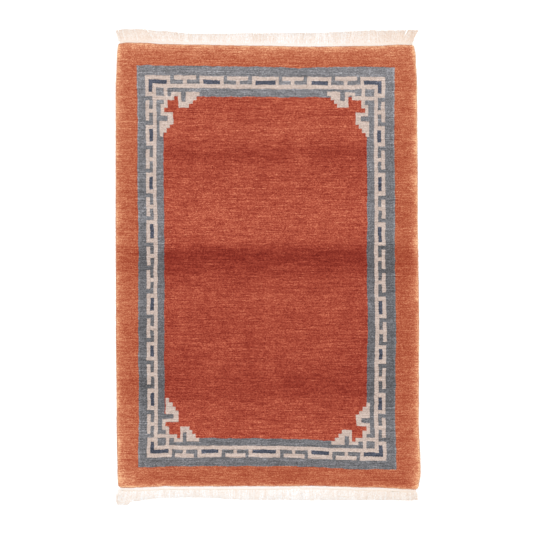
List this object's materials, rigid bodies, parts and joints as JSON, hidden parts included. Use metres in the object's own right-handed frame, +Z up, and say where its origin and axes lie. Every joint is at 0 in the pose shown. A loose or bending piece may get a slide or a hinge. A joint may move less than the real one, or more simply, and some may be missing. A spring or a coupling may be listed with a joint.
{
  "type": "tibetan rug",
  "caption": "Hand-knotted wool rug with a plain field, a fretwork border with stepped corners, and a flat-woven web with cut fringe at each end.",
  "frame": {"origin": "on the floor, below the middle of the rug's whole outline, fringes included", "axes": "+Y along the rug's length towards its head end, +X to the right across its width, +Z up out of the pile"},
  "size_m": [1.207, 1.8808, 0.0151],
  "materials": {
    "wool_pile": "matte cut wool pile, rust red and orange with a grey and cream fret",
    "cotton_warp": "matte undyed cotton, woven web and loose threads"
  },
  "bodies": {
    "root": {"Knotted_Rug": "wool_pile", "Head_Web_Fringe": "cotton_warp", "Foot_Web_Fringe": "cotton_warp"}
  },
  "joints": []
}
